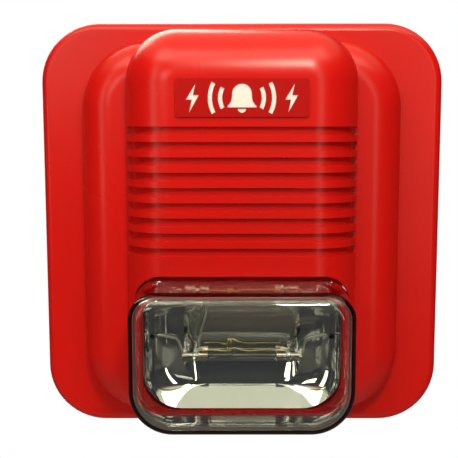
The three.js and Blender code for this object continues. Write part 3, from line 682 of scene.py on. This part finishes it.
def groove_boxes(sizes, name, numbers, half_x, back, height):
    """Boxes that hang from the upper edges of some grooves, as one piece."""
    boxes = []
    for number in numbers:
        top = (sizes.groove_top - number * sizes.groove_pitch) / MM + sizes.groove_height / MM / 2
        boxes.append(add_box(
            f"{name}_{number}", (-half_x, half_x), (back, TOWER_FRONT + 2), (top - height, top)))
    return join_pieces(boxes, name)


def groove_cutter(sizes):
    grooves = groove_boxes(sizes, "grooves", range(sizes.groove_count), TOWER.half_width + 1.6,
                           SHOULDER_FRONT + 0.3, sizes.groove_height / MM)
    return cut(grooves, tower_block("groove_core", sizes.groove_depth / MM))


def slit_cutter(sizes):
    """The thin openings in the middle grooves that let the sound out."""
    return groove_boxes(sizes, "slits", SLIT_GROOVES, SLIT_HALF, SOUNDER_FRONT, SLIT_HEIGHT)


def add_lock_recess(cover):
    """The thick spot in the bottom edge, with a counterbore for the head of the locking screw."""
    block = add_box("lock_block", (-4.6, 4.6), (1.4, PLATE_FRONT - 1.7), (LOCK_BOTTOM + 0.05, -55.8))
    unite(cover, block)
    cut(cover, add_cylinder("counterbore", (0, LOCK_OUT, LOCK_BOTTOM), 3.1, 4, "Z"))
    cut(cover, add_cylinder("lock_hole", (0, LOCK_OUT, LOCK_BOTTOM + 2.3), 1.7, 8, "Z"))


def add_cover_bosses(cover):
    """The four screw bosses that the rear cover is held by."""
    for side in (-1, 1):
        for z in BOSS_RISE:
            unite(cover, add_cylinder("boss", (side * BOSS_X, 15.6, z), 3, 6.6))
            cut(cover, add_cylinder("boss_bore", (side * BOSS_X, 14.5, z), 1.35, 5))


def add_hinge_hooks(cover):
    """The two saddles that drop over the hinge pins."""
    for side in (-1, 1):
        middle = side * HINGE_X
        hook = add_box("hinge_hook", (middle - 1.4, middle + 1.4), (3.4, 8.9), (53, 57.6))
        pin_seat = add_cylinder("pin_seat", (middle, HINGE_OUT, HINGE_Z), SADDLE_RADIUS, 4, "X", 32)
        mouth = add_box(
            "hook_mouth", (middle - 2, middle + 2), (3, HINGE_OUT),
            (HINGE_Z - SADDLE_RADIUS, HINGE_Z + SADDLE_RADIUS))
        cut(hook, pin_seat)
        cut(hook, mouth)
        unite(cover, hook)


# ---------------- label

LABEL = Outline(18.5, 33, 43.5, 0.8, 0.8)
LABEL_SHEET = Outline(18.3, 33.2, 43.3, 0.6, 0.6)
LABEL_FACE, LABEL_BACK = (34.3, 34.5), (34.05, 34.25)
MARK_Z = 38.2
WAVE_RADII = (6, 8.8)
WAVE_HALF_WIDTH, WAVE_HALF_ANGLE = 0.6, 0.49
FLASH_X = 13.6


class HORN_OT_label(bpy.types.Operator):
    """Cuts a bell, sound waves and flashes through the dark label over its white backing"""
    bl_idname = "horn.label"
    bl_label = "Label"

    def execute(self, context):
        face = add_block("label_print", LABEL, LABEL_FACE, corner_segments=6)
        span = (LABEL_FACE[0] - 1, LABEL_FACE[1] + 1)
        clapper = arc_corners((0, MARK_Z - 2.9), 1.15, math.pi, 2 * math.pi)
        marks = [add_prism("bell_mark", bell_corners(), span), add_prism("clapper_mark", clapper, span)]
        for side in (-1, 1):
            for radius in WAVE_RADII:
                marks.append(add_prism("wave_mark", wave_corners(side, radius), span))
            marks.append(add_prism("flash_mark", flash_corners(side * FLASH_X), span))
        for mark in marks:
            cut(face, mark)
        finish_piece(face, "label_dark_red", "head", "label_face")
        backing = add_block("label_white", LABEL_SHEET, LABEL_BACK, corner_segments=6)
        finish_piece(backing, "white_print", "head", "label_backing")
        return {"FINISHED"}


def bell_corners():
    """Half round at the top, sides that flare into a rim at the bottom."""
    flare = [(2.75, 0.6), (2.82, -0.2), (3.05, -1.0), (3.5, -1.7), (4.0, -2.1), (4.0, -2.6)]
    right = [(x, MARK_Z + z) for x, z in reversed(flare)]
    left = [(-x, MARK_Z + z) for x, z in flare]
    return right + arc_corners((0, MARK_Z + 1.2), 2.7, 0, math.pi, 24) + left


def wave_corners(side, radius):
    """A bent bar to the right, 1, or to the left, -1, of the bell."""
    middle = 0 if side > 0 else math.pi
    first, last = middle - WAVE_HALF_ANGLE, middle + WAVE_HALF_ANGLE
    outer = arc_corners((0, MARK_Z), radius + WAVE_HALF_WIDTH, first, last)
    return outer + arc_corners((0, MARK_Z), radius - WAVE_HALF_WIDTH, last, first)


def flash_corners(x):
    corners = [(0.9, 4), (-1.8, -0.5), (-0.2, -0.5), (-0.9, -4), (1.8, 0.8), (0.2, 0.8)]
    return [(x + across, MARK_Z + up) for across, up in corners]


# ---------------- lens

class HORN_OT_lens(bpy.types.Operator):
    """Moulds the clear lens as a hollow shell"""
    bl_idname = "horn.lens"
    bl_label = "Lens"

    def execute(self, context):
        sizes = context.scene.horn_strobe
        lens = add_block("lens_shell", LENS, (LENS_SEAT + 1.1, LENS_FRONT), LENS_ROLL, 0, 20, 12)
        hollow = add_block(
            "lens_hollow", LENS, (LENS_SEAT, LENS_FRONT), LENS_ROLL, sizes.lens_wall / MM, 20, 10)
        for block in (lens, hollow):
            slope_top(block, sizes.lens_slope / MM)
        cut(lens, hollow)
        smooth(lens, 30)
        finish_piece(lens, "clear_lens", "head", "lens")
        return {"FINISHED"}


def slope_top(block, fall):
    """Lets the top of a lens block fall towards its front, from the face of the cover on."""
    middle = (LENS.bottom + LENS.top) / 2
    for vertex in block.data.vertices:
        along = (-vertex.co.y / MM - TOWER_FRONT) / (LENS_FRONT - TOWER_FRONT)
        up = (vertex.co.z / MM - middle) / (LENS.top - middle)
        if along > 0 and up > 0:
            vertex.co.z -= fall * along * up * MM


# ---------------- reflector

MOUTH_INSET = 3
MIRROR_WALL = 0.35
BOWL_STEPS = 14
LEAD_HOLES = ((-25.6, -29.2), (25.6, -29.2), (-10.6, -17.8))


class HORN_OT_reflector(bpy.types.Operator):
    """Draws the mirror bowl back from its mouth, and gives it a wall"""
    bl_idname = "horn.reflector"
    bl_label = "Reflector"

    def execute(self, context):
        sizes = context.scene.horn_strobe
        bowl = add_block("reflector_bowl", LENS, (MOUTH_FRONT - 1, MOUTH_FRONT), corner_segments=14)
        start_edit(bowl)
        delete_faces(bowl, lambda face: not lies_at(face, MOUTH_FRONT), "FACE")
        bpy.ops.mesh.select_all(action="SELECT")
        middle = (LENS.bottom + LENS.top) / 2
        half_x = LENS.half_width
        half_z = (LENS.top - LENS.bottom) / 2
        levels = bowl_levels(sizes, half_x - MOUTH_INSET, half_z - MOUTH_INSET)
        out = MOUTH_FRONT
        for level, (depth, next_x, next_z) in enumerate(levels):
            if level > 0:
                bpy.ops.mesh.extrude_region_move(
                    TRANSFORM_OT_translate={"value": (0, (out - MOUTH_FRONT + depth) * MM, 0)})
            out = MOUTH_FRONT - depth
            shrink_face(half_x, half_z, next_x, next_z, middle, out)
            half_x, half_z = next_x, next_z
        delete_faces(bowl, lambda face: lies_at(face, MOUTH_FRONT), "ONLY_FACE")
        turn_outwards()
        wall = bowl.modifiers.new("wall", "SOLIDIFY")
        wall.thickness = MIRROR_WALL * MM
        wall.offset = -1 if faces_forward(bowl) else 1
        bpy.ops.object.modifier_apply(modifier=wall.name)
        lip_span = (MOUTH_FRONT - MIRROR_WALL, MOUTH_FRONT + 0.1)
        lip = add_box("mouth_lip", (-25, 25), lip_span, (-15.0, -13.9))
        unite(bowl, lip)
        for x, z in LEAD_HOLES:
            cut(bowl, add_cylinder("lead_hole", (x, 28, z), 0.8, 14, "Y", 24))
        smooth(bowl, 12)
        finish_piece(bowl, "mirror_chrome", "head", "reflector")
        return {"FINISHED"}


def bowl_levels(sizes, mouth_x, mouth_z):
    """Depth, half width and half height, in millimetres, from the mouth to the back of the bowl.

    The top and bottom are bevelled flats and the ends are dished; the trough behind is a parabola.
    """
    rim_depth = sizes.bowl_rim / MM
    trough_depth = sizes.bowl_trough / MM
    end = sizes.bowl_end / MM
    trough_x = mouth_x - end
    trough_z = mouth_z - rim_depth
    levels = []
    for step in range(BOWL_STEPS + 1):
        part = step / BOWL_STEPS
        dished = 1 - math.sqrt(1 - part * part)
        levels.append((rim_depth * part, mouth_x - end * dished, mouth_z - rim_depth * part))
    for step in range(1, BOWL_STEPS + 1):
        height = 1 - 0.96 * step / BOWL_STEPS
        depth = rim_depth + trough_depth * (1 - height * height)
        levels.append((depth, trough_x * (0.75 + 0.25 * height), trough_z * height))
    return levels


def delete_faces(piece, chosen, kind):
    """In edit mode: deletes the faces that chosen picks."""
    mesh = bmesh.from_edit_mesh(piece.data)
    for face in mesh.faces:
        face.select = chosen(face)
    bmesh.update_edit_mesh(piece.data)
    bpy.ops.mesh.delete(type=kind)


def shrink_face(half_x, half_z, next_x, next_z, middle, out):
    """Scales the chosen face from one half width and half height to the next."""
    bpy.ops.transform.resize(
        value=(next_x / half_x, 1, next_z / half_z), center_override=(0, -out * MM, middle * MM))


def faces_forward(piece):
    """Whether the deepest face of an open bowl points out of the wall."""
    deepest = max(piece.data.polygons, key=lambda face: face.center.y)
    return deepest.normal.y < 0


# ---------------- flash tube and its wires

TUBE_Z = -35.2
TUBE_OUT = 30
TUBE_HALF = 16.5
TUBE_RADIUS, BORE_RADIUS = 1.1, 0.75
SLEEVE_BORE = TUBE_RADIUS + 0.02
CAP_END = TUBE_HALF + 0.6
CLIP_X = 11.3


class HORN_OT_flash_tube(bpy.types.Operator):
    """Makes the glass tube with its bore, electrodes, end caps and trigger clips"""
    bl_idname = "horn.flash_tube"
    bl_label = "Flash tube"

    def execute(self, context):
        middle = (0, TUBE_OUT, TUBE_Z)
        tube = add_cylinder("glass_tube", middle, TUBE_RADIUS, 2 * TUBE_HALF, "X", 48)
        bore = add_cylinder("tube_bore", middle, BORE_RADIUS, 2 * TUBE_HALF - 4, "X", 32)
        cut(tube, bore)
        soften(tube, 0.25, 3, 60)
        finish_piece(tube, "tube_glass", "head", "flash_tube")
        cap = hollow_sleeve("tube_end_cap", CAP_END - 1.5, 1.3, 3)
        clip = hollow_sleeve("trigger_band", CLIP_X, 1.4, 2.6)
        for z in (TUBE_Z - 0.4, TUBE_Z + 0.4):
            unite(clip, add_box(
                "clip_lip", (10.1, 12.5), (TUBE_OUT - 2.6, TUBE_OUT - 1.2), (z - 0.15, z + 0.15)))
        electrode = add_cylinder("electrode", (CAP_END - 4.3, TUBE_OUT, TUBE_Z), 0.4, 4.6, "X", 24)
        soften(cap, 0.06, 2, 50)
        soften(clip, 0.06, 2, 50)
        soften(electrode, 0.2, 3, 60)
        for piece, stands_for in ((cap, ["tube_cap"]), (clip, ["trigger_clip"]), (electrode, [])):
            left = mirror_copy(piece, piece.name + "_left")
            piece.name += "_right"
            finish_piece(left, "cap_metal", "head", *(node + "_left" for node in stands_for))
            finish_piece(piece, "cap_metal", "head", *(node + "_right" for node in stands_for))
        return {"FINISHED"}


def hollow_sleeve(name, x, radius, length):
    sleeve = add_cylinder(name, (x, TUBE_OUT, TUBE_Z), radius, length, "X", 48)
    bore = add_cylinder("sleeve_bore", (x, TUBE_OUT, TUBE_Z), SLEEVE_BORE, length + 2, "X", 48)
    return cut(sleeve, bore)


def mirror_copy(piece, name):
    """A copy on the other side of the middle."""
    twin = copy_piece(piece, name)
    twin.scale.x = -1
    bpy.ops.object.transform_apply(location=False, rotation=False, scale=True)
    bpy.ops.object.mode_set(mode="EDIT")
    turn_outwards()
    return twin


LEAD_RADIUS = 0.36
TRIGGER_PATH = (
    (-12.4, 30.2, -32.3), (-12.3, 30.4, -30.6), (-11.6, 30.7, -27.4), (-10.7, 30.8, -24.3),
    (-10.1, 30.6, -21.2), (-10.3, 30.3, -18.9), (-11, 29.4, -17), (-11.6, 27, -16.4),
    (-11.6, 16.4, -16.4),
)


def electrode_path(side):
    """From the end of the tube up, outwards and back through the reflector."""
    start = side * (CAP_END + 0.2)
    return (
        (start, TUBE_OUT, TUBE_Z + 0.4),
        (start + side * 0.35, TUBE_OUT, TUBE_Z + 2.6),
        (start + side * 1.6, TUBE_OUT - 0.1, TUBE_Z + 5.1),
        (side * 20.6, TUBE_OUT - 0.2, -29.6),
        (side * 23.6, TUBE_OUT - 0.3, -29.1),
        (side * 25.2, TUBE_OUT - 1.4, -29.2),
        (side * 25.6, TUBE_OUT - 4, -29.2),
        (side * 25.6, 16.4, -29.2))


class HORN_OT_wires(bpy.types.Operator):
    """Bends the electrode leads, the trigger lead and the twisted trigger wire"""
    bl_idname = "horn.wires"
    bl_label = "Wires"

    def execute(self, context):
        for side, label in ((-1, "left"), (1, "right")):
            lead = add_wire(f"lead_{label}", electrode_path(side), LEAD_RADIUS)
            finish_piece(lead, "lead_wire", "head", f"electrode_lead_{label}")
        lead = add_wire("lead_trigger", TRIGGER_PATH, LEAD_RADIUS)
        finish_piece(lead, "lead_wire", "head", "trigger_lead")
        finish_piece(twisted_trigger_wire(), "gold_wire", "head", "trigger_wire")
        return {"FINISHED"}


def twisted_trigger_wire():
    """A thin wire along the tube with a small knot of a few turns in it."""
    height = TUBE_Z + 1.75
    points = [(-11.4, TUBE_OUT, height), (-8, TUBE_OUT + 0.05, height + 0.1)]
    turns, knot_start, knot_length, knot_radius = 2.5, -4.4, 1.7, 0.5
    steps = int(turns * 8)
    for step in range(steps + 1):
        turn = step / 8 * 2 * math.pi
        points.append((
            knot_start + knot_length * step / steps,
            TUBE_OUT + knot_radius * math.sin(turn),
            height + 0.3 - knot_radius * math.cos(turn)))
    points += [
        (1, TUBE_OUT + 0.05, height - 0.05), (6, TUBE_OUT, height + 0.05), (11.4, TUBE_OUT, height)]
    return add_wire("wire_trigger", points, 0.22, 8)


# ---------------- wall plate

BASE = Outline(57.4, -58.2, 54.6, 15, 15)
BASE_FRONT = 2.5
CABLE_OPENING = Outline(20, -34, -14, 3, 3)
RIB_X, RIB_HALF = 56.4, 0.8
SLOT_X, SLOT_Z = 42, 43
SLOT_HALF, SLOT_REACH = 2, 5


class HORN_OT_wall_plate(bpy.types.Operator):
    """Moulds the wall plate with its lugs, ribs, screw slots and cable opening"""
    bl_idname = "horn.wall_plate"
    bl_label = "Wall plate"

    def execute(self, context):
        plate = add_block("wall_plate", BASE, (0, BASE_FRONT), corner_segments=16)
        through = (-1, BASE_FRONT + 1)
        for side in (-1, 1):
            rib_span = (side * RIB_X - RIB_HALF, side * RIB_X + RIB_HALF)
            unite(plate, add_box("side_rib", rib_span, (BASE_FRONT - 0.5, 5.5), (-38, 38)))
            add_hinge_lugs(plate, side * HINGE_X)
            upright = screw_slot("upright_slot", (side * SLOT_X, 0), SLOT_HALF, SLOT_REACH)
            level = screw_slot("level_slot", (0, side * SLOT_Z), SLOT_REACH, SLOT_HALF)
            cut(plate, upright)
            cut(plate, level)
        cut(plate, add_block("cable_opening", CABLE_OPENING, through, corner_segments=8))
        cut(plate, add_box("lock_gap", (-5.2, 5.2), through, (-60, -55.2)))
        fork = add_box("lock_fork", (-6, 6), (BASE_FRONT - 0.5, 7.6), (-55.2, -52.6))
        cut(fork, add_box("fork_gap", (-1.8, 1.8), (LOCK_OUT - 1.8, 9), (-57, -51)))
        unite(plate, fork)
        soften(plate, 0.2)
        finish_piece(plate, "dark_red_base", "wall_base", "mounting_plate")
        return {"FINISHED"}


def add_hinge_lugs(plate, middle):
    """Two round lugs on feet, with the bore of the hinge pin through them."""
    for x in (middle - LUG_SPREAD, middle + LUG_SPREAD):
        place = (x, HINGE_OUT, HINGE_Z)
        foot = add_box(
            "lug_foot", (x - LUG_HALF, x + LUG_HALF), (BASE_FRONT - 0.5, HINGE_OUT), (51.5, HINGE_Z))
        unite(foot, add_cylinder("lug", place, LUG_RADIUS, 2 * LUG_HALF, "X", 40))
        cut(foot, add_cylinder("lug_bore", place, PIN_RADIUS + 0.1, 4, "X", 32))
        unite(plate, foot)


def screw_slot(name, center, half_x, half_z):
    slot = Outline(half_x, center[1] - half_z, center[1] + half_z, 1.95, 1.95)
    piece = add_block(name, slot, (-1, BASE_FRONT + 1), corner_segments=10)
    piece.location.x = center[0] * MM
    make_active(piece)
    bpy.ops.object.transform_apply(location=True, rotation=False, scale=False)
    return piece


# ---------------- carried-over parts

EDGE_SHARE = 0.05  # of a part's least dimension, for its edge radius


class HORN_OT_small_parts(bpy.types.Operator):
    """Rounds the edges of every carried-over part and gives it smooth shading"""
    bl_idname = "horn.small_parts"
    bl_label = "Small parts"

    def execute(self, context):
        bodies = frame["record"]["behaviour"]["bodies"]
        body_of = {node: body for body, nodes in bodies.items() for node in nodes}
        for entry in frame["record"]["subparts"]:
            node = entry["node"]
            if node in replaced_nodes:
                continue
            piece = copy_piece(frame["nodes"][node], node + "_rounded")
            bpy.ops.object.mode_set(mode="EDIT")
            bpy.ops.mesh.select_all(action="SELECT")
            bpy.ops.mesh.remove_doubles(threshold=NEAR)
            bpy.ops.mesh.dissolve_limited(angle_limit=math.radians(1))
            bpy.ops.object.mode_set(mode="OBJECT")
            soften(piece, min(piece.dimensions) / MM * EDGE_SHARE, 2, 42, 38)
            finish_piece(piece, entry["material_slot"], body_of[node], node)
        return {"FINISHED"}


# ---------------- stage

FRAME_WIDTH = 458
FRAME_SHIFT = (-13.0, 26.4)
# Name, azimuth and elevation in degrees, distance and size in metres, power in watts.
SOFTBOXES = (
    ("front_light", (10, 38), 0.34, (0.05, 0.05), 0.47),
    ("ceiling_left", (-34, 54), 0.42, (0.26, 0.18), 0.45),
    ("ceiling_right", (36, 58), 0.42, (0.26, 0.18), 0.35),
    ("left_window", (-46, 14), 0.60, (0.10, 0.40), 0.34),
    ("left_fill", (-22, 16), 0.50, (0.12, 0.10), 0.21),
    ("back_light", (205, 35), 0.70, (0.50, 0.40), 2.6),
    ("right_strip", (24, 8), 0.55, (0.03, 0.34), 0.22),
)
BACKDROP_WHITE = (1.0, 1.0, 1.0, 1.0)
# The room that mirrors see, from straight down, 0, to straight up, 1.
ROOM_FLOOR = (0.10, 0.08, 0.06, 1.0)
ROOM_CEILING = (0.90, 0.88, 0.66, 1.0)
ROOM_BANDS = (
    (0.30, (0.06, 0.055, 0.048, 1.0)),
    (0.48, (0.030, 0.032, 0.034, 1.0)),
    (0.80, (0.05, 0.052, 0.055, 1.0)),
    (0.84, (0.80, 0.78, 0.56, 1.0)),
)


class HORN_OT_stage(bpy.types.Operator):
    """Adds the floor, the lights and the camera"""
    bl_idname = "horn.stage"
    bl_label = "Stage"

    def execute(self, context):
        stage = context.scene.horn_stage
        deselect()
        bpy.ops.mesh.primitive_circle_add(
            vertices=96, radius=0.55, fill_type="NGON", location=(0, -0.05, -stage.floor_drop))
        floor = context.object
        floor.name = "studio_floor"
        tree, shader, place = new_finish("floor_paper")
        paint(tree, shader, noise_node(tree, place, 6.0), (0.79, 0.80, 0.88), (0.75, 0.76, 0.84))
        floor.data.materials.append(bpy.data.materials["floor_paper"])
        floor.visible_glossy = False
        floor.visible_transmission = False
        for softbox in SOFTBOXES:
            add_softbox(*softbox)
        build_world(context.scene)
        camera_data = bpy.data.cameras.new("camera")
        camera_data.lens = stage.focal_length
        camera_data.sensor_width = 36.0
        camera_data.shift_x = FRAME_SHIFT[0] / FRAME_WIDTH
        camera_data.shift_y = FRAME_SHIFT[1] / FRAME_WIDTH
        camera_data.clip_start = 0.01
        camera = bpy.data.objects.new("camera", camera_data)
        camera.location = (0, -stage.camera_distance, stage.camera_height)
        camera.rotation_euler = (math.pi / 2 - stage.camera_tilt, 0, 0)
        context.scene.collection.objects.link(camera)
        context.scene.camera = camera
        context.scene.view_settings.view_transform = "Standard"
        return {"FINISHED"}


def add_softbox(name, angles, distance, size, power):
    """A rectangular light that looks at the object from an azimuth and an elevation."""
    azimuth, elevation = (math.radians(angle) for angle in angles)
    level = math.cos(elevation)
    towards = Vector((math.sin(azimuth) * level, -math.cos(azimuth) * level, math.sin(elevation)))
    data = bpy.data.lights.new(name, "AREA")
    data.shape = "RECTANGLE"
    data.size = size[0]
    data.size_y = size[1]
    data.energy = power
    data.color = bpy.context.scene.horn_stage.light_color
    light = bpy.data.objects.new(name, data)
    light.location = towards * distance + Vector((0, -0.02, 0))
    light.rotation_euler = towards.to_track_quat("Z", "Y").to_euler()
    bpy.context.scene.collection.objects.link(light)


def build_world(scene):
    """A plain white backdrop; lights and mirrors see a room with a pale ceiling and dim sides."""
    world = bpy.data.worlds.new("studio")
    scene.world = world
    world.use_nodes = True
    nodes = world.node_tree.nodes
    nodes.clear()
    output, mix, rays, room, white, direction, parts, height, ramp = (
        nodes.new("ShaderNode" + kind) for kind in (
            "OutputWorld", "MixShader", "LightPath", "Background", "Background", "TexCoord",
            "SeparateXYZ", "MapRange", "ValToRGB"))
    white.inputs["Color"].default_value = BACKDROP_WHITE
    height.inputs["From Min"].default_value = -1.0
    ramp.color_ramp.elements[0].color = ROOM_FLOOR
    ramp.color_ramp.elements[1].color = ROOM_CEILING
    for position, color in ROOM_BANDS:
        ramp.color_ramp.elements.new(position).color = color
    for source, sink in (
            (direction.outputs["Generated"], parts.inputs["Vector"]),
            (parts.outputs["Z"], height.inputs["Value"]),
            (height.outputs["Result"], ramp.inputs["Fac"]),
            (ramp.outputs["Color"], room.inputs["Color"]),
            (rays.outputs["Is Camera Ray"], mix.inputs["Fac"]),
            (room.outputs["Background"], mix.inputs[1]),
            (white.outputs["Background"], mix.inputs[2]),
            (mix.outputs["Shader"], output.inputs["Surface"])):
        world.node_tree.links.new(source, sink)


class HORN_OT_finishes(bpy.types.Operator):
    """Makes the shared effects and a finish for every material slot"""
    bl_idname = "horn.finishes"
    bl_label = "Finishes"

    def execute(self, context):
        make_finishes()
        return {"FINISHED"}


class HORN_PT_panel(bpy.types.Panel):
    """Lists the steps that build the horn strobe"""
    bl_idname = "HORN_PT_panel"
    bl_label = "Horn Strobe"
    bl_space_type = "VIEW_3D"
    bl_region_type = "UI"
    bl_category = "Horn Strobe"

    def draw(self, context):
        scene = context.scene
        for name in SETTINGS:
            group = getattr(scene, name)
            box = self.layout.box()
            for key in group.__annotations__:
                box.prop(group, key)
        for operator in OPERATORS:
            self.layout.operator(operator.bl_idname)


OPERATORS = (
    HORN_OT_stage, HORN_OT_finishes, HORN_OT_cover, HORN_OT_label, HORN_OT_lens, HORN_OT_reflector,
    HORN_OT_flash_tube, HORN_OT_wires, HORN_OT_wall_plate, HORN_OT_small_parts,
)
SETTINGS = {
    "horn_cover": CoverProperties, "horn_strobe": StrobeProperties, "horn_stage": StageProperties}
CLASSES = (*SETTINGS.values(), *OPERATORS, HORN_PT_panel)


def register():
    for item in CLASSES:
        bpy.utils.register_class(item)
    for name, group in SETTINGS.items():
        setattr(bpy.types.Scene, name, bpy.props.PointerProperty(type=group))


def unregister():
    for name in SETTINGS:
        delattr(bpy.types.Scene, name)
    for item in reversed(CLASSES):
        bpy.utils.unregister_class(item)


def main():
    register()
    bpy.ops.horn.stage()
    bpy.ops.horn.finishes()
    bpy.ops.horn.cover()
    bpy.ops.horn.label()
    bpy.ops.horn.lens()
    bpy.ops.horn.reflector()
    bpy.ops.horn.flash_tube()
    bpy.ops.horn.wires()
    bpy.ops.horn.wall_plate()
    bpy.ops.horn.small_parts()


if __name__ == "__main__":
    main()
